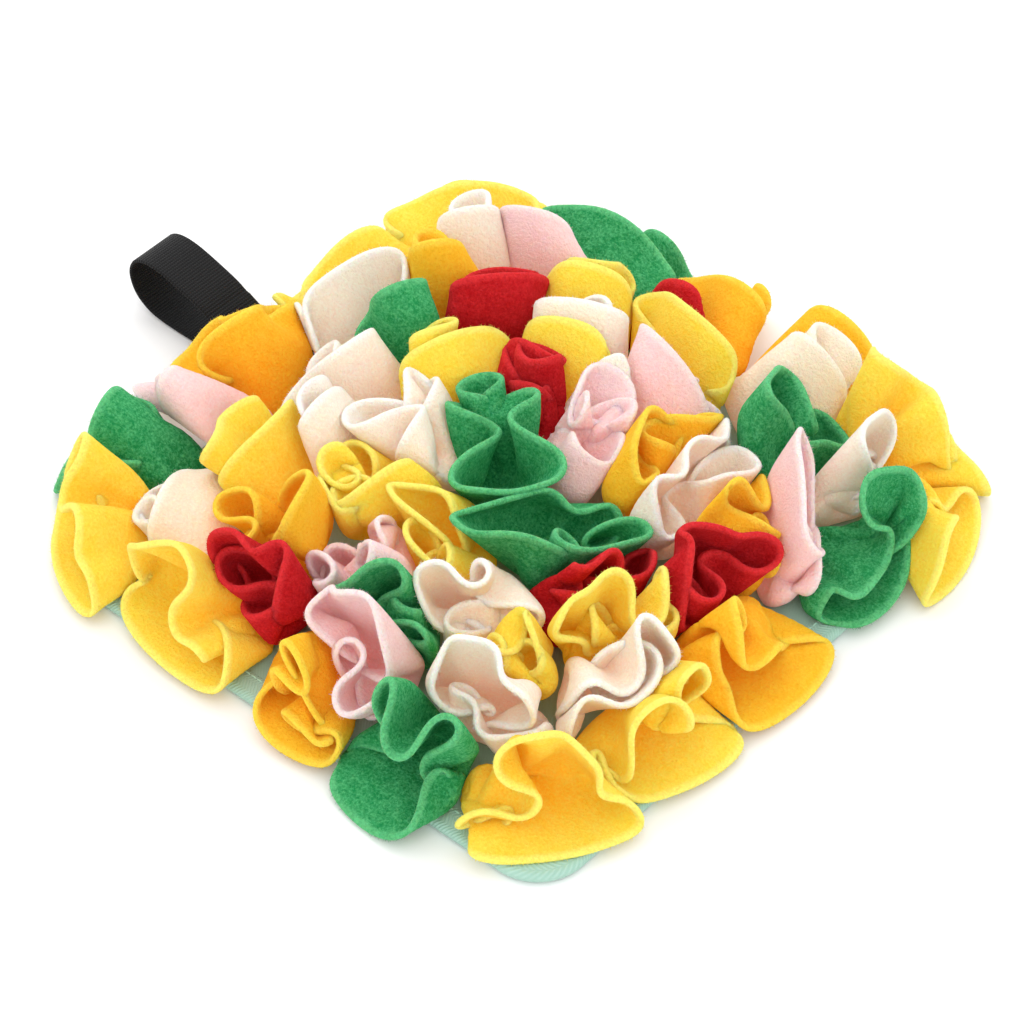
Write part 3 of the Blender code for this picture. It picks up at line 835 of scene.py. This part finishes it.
def make_fuzz(colour):
    """Fibres p, p + w, p + l: p at a random place along and across the rim, w a little way
    along it, l outwards and a little astray."""
    rng = np.random.default_rng(len(colour) * 7 + ord(colour[0]))
    members = [c for c, row in enumerate(CIRCLES) if row[0].split("_")[0] == colour]
    c = np.repeat(members, FIBRES)
    k = rng.integers(0, fine.shape[2], len(c))
    part = rng.random(len(c))[:, None]
    bend = rng.uniform(*ROUND_RIM, len(c))[:, None] * np.pi
    following = (k + 1) % fine.shape[2]
    middle = fine[c, -1, k] * (1 - part) + fine[c, -1, following] * part
    way = np.cos(bend) * normal[c, -1, k] + np.sin(bend) * rim_way[c, k]
    side = unit(fine[c, -1, following] - fine[c, -1, k])
    root = middle + FLEECE / 2 * (1 + SWELL) * ROOTED * way
    length = rng.uniform(*FIBRE_LENGTH, len(c))[:, None]
    tip = root + length * unit(way + ASTRAY * rng.normal(size=way.shape))
    tip[:, 2] = np.maximum(tip[:, 2], GAP)
    points = np.stack([root, root + FIBRE_WIDTH * side, tip], 1).reshape(-1, 3)
    faces = np.arange(len(points)).reshape(-1, 3)
    piece = make_piece("fuzz_" + colour, points, faces, FLEECE_CLOTH[colour],
                       edge=np.full(len(points), FUZZ_EDGE))
    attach(piece, "root")
    return piece


fuzz = [make_fuzz(colour) for colour in FLEECE_DYES_AND_PAINTED_SHADE]
print(sum(len(piece.data.polygons) for piece in fuzz), "fibres")

# %% [markdown]
# ## Panel, binding and webbing: the cloths
# The panel and its binding are the same mint cotton, one woven plain and one as herringbone
# tape. Both patterns follow the cloth, so they read the piece's own cloth map: u runs along the
# tape and v across it, both in metres. The webbing is ribbed nylon, almost black, with a little
# shine on the top of each rib.

# %% The panel's cloths
MINT = (0.300, 0.520, 0.420)
MINT_PALE = (0.450, 0.660, 0.570)


def panel_cloth():
    """Plain weave: two crossed sine waves a third of a millimetre apart, faint in the colour."""
    dye = Dye("panel_cloth", Roughness=0.9, Sheen_Weight=0.15, Sheen_Roughness=0.5)
    place = dye.place()
    x, y = dye.split(place)
    pitch = 2 * math.pi / 0.0009
    weave = (x * pitch).sum("SINE") * (y * pitch).sum("SINE") * 0.5 + 0.5
    cloudy = dye.noise(place, 60.0, 3.0)
    colour = dye.mix((weave * 0.35 + cloudy * 0.4).within(), MINT, MINT_PALE)
    return dye.finish(Base_Color=colour, Normal=dye.bump(weave, 0.0002))


def tape_cloth():
    """Herringbone: slanting ribs u + v or u - v, turning over at each band across the tape."""
    dye = Dye("binding_tape", Roughness=0.85, Sheen_Weight=0.2, Sheen_Roughness=0.4)
    u, v = dye.split(dye.node("ShaderNodeUVMap", dict(uv_map="cloth")))
    zigzag = (v * (1 / 0.0045)).sum("PINGPONG", 1.0)
    ribs = ((u * (1 / 0.0016) + zigzag * 1.7) * (2 * math.pi)).sum("SINE") * 0.5 + 0.5
    threads = (v * (2 * math.pi / 0.0006)).sum("SINE") * 0.5 + 0.5
    turnover = 1.0 - ((zigzag - 0.5).sum("ABSOLUTE") * 2.0 - 0.86).within() * 5.0
    height = ribs * 0.8 * turnover + threads * 0.2
    cloudy = dye.noise(dye.place(), 90.0, 3.0)
    colour = dye.mix((height * 0.55 + cloudy * 0.35).within(), MINT, MINT_PALE)
    return dye.finish(Base_Color=colour, Normal=dye.bump(height, 0.0003))


def webbing_cloth():
    """Ribs across the webbing from one sine wave of u, cut up by the warp in v."""
    dye = Dye("webbing", Roughness=0.55, Specular_IOR_Level=0.2)
    u, v = dye.split(dye.node("ShaderNodeUVMap", dict(uv_map="cloth")))
    warp = (v * (2 * math.pi / 0.0012)).sum("SINE")
    ribs = (u * (2 * math.pi / 0.0015) + warp * 0.9).sum("SINE") * 0.5 + 0.5
    height = ribs * 0.75 + (warp * 0.5 + 0.5) * 0.25
    colour = dye.mix((height ** 2.0).within(), (0.0012, 0.0012, 0.0012), (0.012, 0.012, 0.013))
    roughness = height * -0.2 + 0.65
    return dye.finish(Base_Color=colour, Roughness=roughness, Normal=dye.bump(height, 0.0004))


def thread_cloth():
    """Twisted thread, plain."""
    dye = Dye("mint_thread", Roughness=0.6)
    twist = dye.noise(dye.place(), 2500.0, 2.0)
    colour = dye.mix(twist, (0.420, 0.660, 0.550), (0.640, 1.000, 0.835))
    return dye.finish(Base_Color=colour, Normal=dye.bump(twist, 0.0002))


PANEL_CLOTH, TAPE_CLOTH, WEBBING_CLOTH = panel_cloth(), tape_cloth(), webbing_cloth()
MINT_THREAD = thread_cloth()

# %% [markdown]
# ## The panel and its binding
# Both are rounded squares carried inwards or round a small profile: a row of points round the
# mat for every row of the profile. The top of the panel dips at each stitch, where the thread
# pulls the padding down.

# %% The panel and its binding
SIDE_STEPS, CORNER_STEPS = 40, 16
TUCKED, BULGE = 2.2, 0.6  # how far in the panel's edge lies, and how far its side bulges
DIMPLE, DIMPLE_SPREAD = 1.4, 60.0  # depth at a stitch, and its spread in square mm


def square_ring(half, radius):
    """Points round a rounded square, anticlockwise: straight sides, then quarter arcs."""
    turn = np.linspace(0, np.pi / 2, CORNER_STEPS, endpoint=False)
    quarter = []
    for k in range(4):
        c, s = math.cos(k * math.pi / 2), math.sin(k * math.pi / 2)
        arc = half - radius + radius * np.column_stack([np.cos(turn), np.sin(turn)])
        run = np.linspace(half - radius, -(half - radius), SIDE_STEPS, endpoint=False)
        side = np.column_stack([run, np.full(SIDE_STEPS, half)])
        quarter.append(np.vstack([arc, side]) @ np.array([[c, -s], [s, c]]).T)
    return np.vstack(quarter)


def carry_round(section):
    """Rings of the rounded square, one for each (half side, z) row of the section."""
    return np.stack([np.column_stack([square_ring(half, max(CORNER - (HALF - half), 1.0)),
                                      np.full(4 * (SIDE_STEPS + CORNER_STEPS), z)])
                     for half, z in section])


def make_panel():
    """Top, edge and underside of the padded panel."""
    edge = HALF - TUCKED
    inwards = np.linspace(1, 0.02, 24)
    top = [(edge * s, PANEL_TOP - 0.25) for s in inwards]
    low = [(edge * s, 0.0) for s in inwards[::-1]]
    rings = carry_round(low + [(edge + BULGE, 0.9), (edge + BULGE, PANEL_TOP - 1.4)] + top)
    for x, y, _ in stitch:
        square = (rings[..., 0] - x) ** 2 + (rings[..., 1] - y) ** 2
        pull_down = DIMPLE * np.exp(-square / DIMPLE_SPREAD)
        rings[..., 2] -= np.where(rings[..., 2] > PANEL_TOP - 2, pull_down, 0)
    faces = grid_faces(*rings.shape[:2]).tolist() + end_caps(*rings.shape[:2])
    points = rings.reshape(-1, 3)
    piece = make_piece("panel", points, faces, PANEL_CLOTH, points[:, :2])
    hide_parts("base_panel")


def make_binding():
    """The tape: a thin folded profile with a round fold, carried round the panel."""
    fold = np.linspace(-np.pi / 2, np.pi / 2, 9)
    radius, edge = PANEL_TOP / 2, HALF - PANEL_TOP / 2
    outside = [(HALF - TAPE_WIDTH, 0.0), (HALF - TAPE_WIDTH / 2, 0.0)]
    outside += [(edge + radius * math.cos(a), radius + radius * math.sin(a)) for a in fold]
    outside += [(HALF - TAPE_WIDTH * s, PANEL_TOP + 0.25 * math.sin(math.pi * s))
                for s in (0.4, 0.6, 0.8, 0.95)]
    outside += [(HALF - TAPE_WIDTH - 0.1, PANEL_TOP - 0.3)]
    inside = [(half - 0.2 if half < edge else edge + (half - edge) * 0.7,
               radius + (z - radius) * 0.78) for half, z in outside[::-1]]
    rings = carry_round(outside + inside)
    along, width = lengths(rings[0]), lengths(rings[:, 5])
    uv = cloth_map(along[None], width[:, None])
    faces = grid_faces(len(rings), rings.shape[1], closed_rows=True)
    piece = make_piece("binding", rings.reshape(-1, 3), faces.tolist(), TAPE_CLOTH, uv)
    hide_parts("edge_binding")


make_panel()
make_binding()

# %% [markdown]
# ## Stitches
# The machine stitches in the binding are a row of short, low arches of thread. One arch is a
# bent tube of six sides, repeated at every place along the seam, all as one mesh.

# %% Stitches
SEAM_IN, SEAM_UP = 2.0, 0.15  # the seam from the tape's inner edge, and over the panel
STITCH_PITCH = 3.4
STITCH_ENDS = np.array([0.12, 0.88])  # where a stitch starts and ends, as shares of the pitch
THREAD, THREAD_LIFT = 0.7, 0.35  # thickness of the thread and height of an arch
TUBE = 6  # sides of the tube, and rings along it


def make_stitches():
    """Arches of thread: the middle line is start + s (end - start) + THREAD_LIFT sin(pi s) up,
    with a ring of points round it that is thinner at the ends."""
    seam = carry_round([(HALF - TAPE_WIDTH + SEAM_IN, PANEL_TOP + SEAM_UP)])[0]
    seam = np.vstack([seam, seam[:1]])
    reach = lengths(seam)
    at = np.linspace(0, reach[-1], int(reach[-1] / STITCH_PITCH), endpoint=False)[:, None]
    at = at + STITCH_ENDS * STITCH_PITCH
    starts, ends = (np.column_stack([np.interp(at[:, e], reach, seam[:, c]) for c in range(3)])
                    for e in (0, 1))
    s = np.linspace(0, 1, TUBE)[None, :, None]
    side = unit(np.cross(up, unit(ends - starts)))
    line = starts[:, None] + s * (ends - starts)[:, None] + THREAD_LIFT * np.sin(np.pi * s) * up
    turn = whole_turn(TUBE)
    swell = THREAD / 2 * (0.55 + 0.45 * np.sin(np.pi * s))[..., None]
    ring = np.cos(turn)[:, None] * side[:, None, None] + np.sin(turn)[:, None] * up
    points = (line[:, :, None] + swell * ring).reshape(-1, 3)
    shift = TUBE ** 2 * np.arange(len(starts))[:, None, None]
    faces = ((grid_faces(TUBE, TUBE) + shift).reshape(-1, 4).tolist()
             + (np.array(end_caps(TUBE, TUBE)) + shift).reshape(-1, TUBE).tolist())
    piece = make_piece("binding_stitches", points, faces, MINT_THREAD)


make_stitches()

# %% [markdown]
# ## The hanging loop
# The loop is one length of webbing folded back on itself, its ends sewn to the panel. Its line
# is a smooth curve through the places where the webbing bends, and its section, a flat strip
# with round edges, is carried along that curve.

# %% The hanging loop
WEB_LINE = [  # x, z of the middle of the webbing, from one sewn end to the other
    (-126.0, 6.15), (-140.0, 6.15), (-149.0, 4.6), (-157.0, 2.0), (-168.0, 1.1), (-190.0, 1.1),
    (-209.0, 1.6), (-220.0, 3.4), (-227.5, 8.6), (-231.0, 16.0), (-231.0, 23.0), (-227.5, 29.0),
    (-220.5, 31.8), (-211.0, 31.4), (-199.0, 28.2), (-187.5, 24.2), (-179.5, 19.8),
    (-171.5, 15.8), (-159.0, 11.6), (-147.0, 8.9), (-138.0, 8.1), (-126.0, 8.1)
]
WEB_FINE = 8  # points worked out between two places
WEB_DOUBLED = 58.0  # length of the upper end that is turned under and sewn double
DOUBLED_STEP = 0.8  # how long the step to the double layer is
DOUBLED_MORE = (0.8, 1.0)  # how much wider and thicker it is there


def smooth_line(places, steps):
    """A Catmull-Rom curve: it passes each place in the direction from the one before to the one
    after it."""
    p = np.array(places)
    p = np.vstack([2 * p[0] - p[1], p, 2 * p[-1] - p[-2]])
    s = np.linspace(0, 1, steps, endpoint=False)[None, :, None]
    a, b, c, d = (p[k:len(p) - 3 + k, None] for k in range(4))
    curve = 0.5 * (2 * b + (c - a) * s + (2 * a - 5 * b + 4 * c - d) * s ** 2
                   + (3 * b - a - 3 * c + d) * s ** 3)
    return np.vstack([curve.reshape(-1, p.shape[1]), p[-2:-1]])


def strip_section(width, thick, steps=5):
    """A flat strip with half-round edges: (across, out) points, clockwise."""
    bend = np.linspace(-np.pi / 2, np.pi / 2, steps)
    right = np.column_stack([width / 2 - thick / 2 + thick / 2 * np.cos(bend),
                             thick / 2 * np.sin(bend)])
    flat = np.linspace(1, -1, 9)[1:-1] * (width / 2 - thick / 2)
    top = np.column_stack([flat, np.full(len(flat), thick / 2)])
    return np.vstack([right, top, -right, -top])


def carry_along(line, section):
    """The section carried along a line in the x, z plane at WEB_Y: across runs along y and out
    along the line's normal."""
    way = unit(np.gradient(line, axis=0))
    out = np.column_stack([-way[:, 1], way[:, 0]])
    x, z = (line[:, k, None] + out[:, k, None] * section[None, :, 1] for k in (0, 1))
    return np.stack([x, np.broadcast_to(WEB_Y + section[None, :, 0], x.shape), z], axis=-1)


def make_webbing():
    """The loop itself, with its ribs in the material and its edges round. The upper end is
    turned under, so it steps up to a double layer before it goes under the fleece."""
    line = smooth_line(WEB_LINE, WEB_FINE)
    section = strip_section(WEB_WIDTH, WEB_THICK)
    along = lengths(line)
    doubled = smooth((along - (along[-1] - WEB_DOUBLED)) / DOUBLED_STEP)[:, None, None]
    thick = carry_along(line, strip_section(WEB_WIDTH + DOUBLED_MORE[0],
                                            WEB_THICK + DOUBLED_MORE[1]))
    rows = carry_along(line, section) * (1 - doubled) + thick * doubled
    faces = grid_faces(*rows.shape[:2]).tolist() + end_caps(*rows.shape[:2])
    uv = cloth_map(along[:, None], section[None, :, 0])
    piece = make_piece("webbing", rows.reshape(-1, 3), faces, WEBBING_CLOTH, uv)
    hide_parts("hanging_loop")
    print("webbing cut to", round(along[-1]), "mm")


make_webbing()

# %% [markdown]
# ## Floor, light and camera
# The mat lies on a plain white surface under soft light from all round, with a larger lamp
# from the far left, so shadows stay faint. A long lens from a little above keeps its sides
# nearly parallel.

# %% Floor, light and camera
FLOOR, FLOOR_DOWN = 6.0, -0.0004  # half the floor's side and its height, m
LAMPS = (("window", (-0.7, 0.5, 1.3), 1.2, 4.6), ("front", (0.9, -1.1, 1.4), 1.6, 4.3))
SKY = 1.28  # strength of the light from all round
FOCAL_PIXELS = 4000.0  # focal length in pixels of the square frame
FRAME_PIXELS = 1024.0
DISTANCE = FOCAL_PIXELS / 2327.0  # m from the mat; a metre there spans 2327 pixels
AZIMUTH, ELEVATION = math.radians(41.0), math.radians(45.0)
SHIFT_RIGHT, SHIFT_UP = 3.0, 35.5  # where the mat's centre lies in the frame, in pixels


def make_floor():
    """A wide pale sheet, a hair under the mat."""
    mesh = bpy.data.meshes.new("floor")
    corners = ((-1, -1), (1, -1), (1, 1), (-1, 1))
    mesh.from_pydata([(x * FLOOR, y * FLOOR, FLOOR_DOWN) for x, y in corners], [],
                     [(0, 1, 2, 3)])
    mesh.materials.append(Dye("floor_paint", Base_Color=(0.93, 0.93, 0.93),
                              Roughness=0.9).material)
    floor = put_in("floor", mesh)


def make_light(name, place, size, power):
    """A square lamp that faces the mat."""
    light = bpy.data.lights.new(name, "AREA")
    light.size, light.energy = size, power
    lamp = put_in(name, light)
    lamp.location = place
    lamp.rotation_euler = Vector(place).to_track_quat("Z", "Y").to_euler()


def make_camera():
    """A camera on the line from the mat at AZIMUTH and ELEVATION, moved sideways to frame it."""
    back = Vector((math.sin(AZIMUTH) * math.cos(ELEVATION),
                   -math.cos(AZIMUTH) * math.cos(ELEVATION), math.sin(ELEVATION)))
    right = Vector((math.cos(AZIMUTH), math.sin(AZIMUTH), 0.0))
    pixel = DISTANCE / FOCAL_PIXELS
    target = right * (SHIFT_RIGHT * pixel) + back.cross(right) * (SHIFT_UP * pixel)
    camera = put_in("camera", bpy.data.cameras.new("camera"))
    camera.data.lens = camera.data.sensor_width * FOCAL_PIXELS / FRAME_PIXELS
    camera.location = target + back * DISTANCE
    camera.rotation_euler = back.to_track_quat("Z", "Y").to_euler()
    bpy.context.scene.camera = camera


make_floor()
for lamp in LAMPS:
    make_light(*lamp)
make_camera()
world = bpy.data.worlds.new("studio")
bpy.context.scene.world = world
world.use_nodes = True
sky = world.node_tree.nodes["Background"].inputs
sky["Color"].default_value, sky["Strength"].default_value = (1.0, 1.0, 1.0, 1.0), SKY
bpy.context.scene.view_settings.view_transform = "Standard"
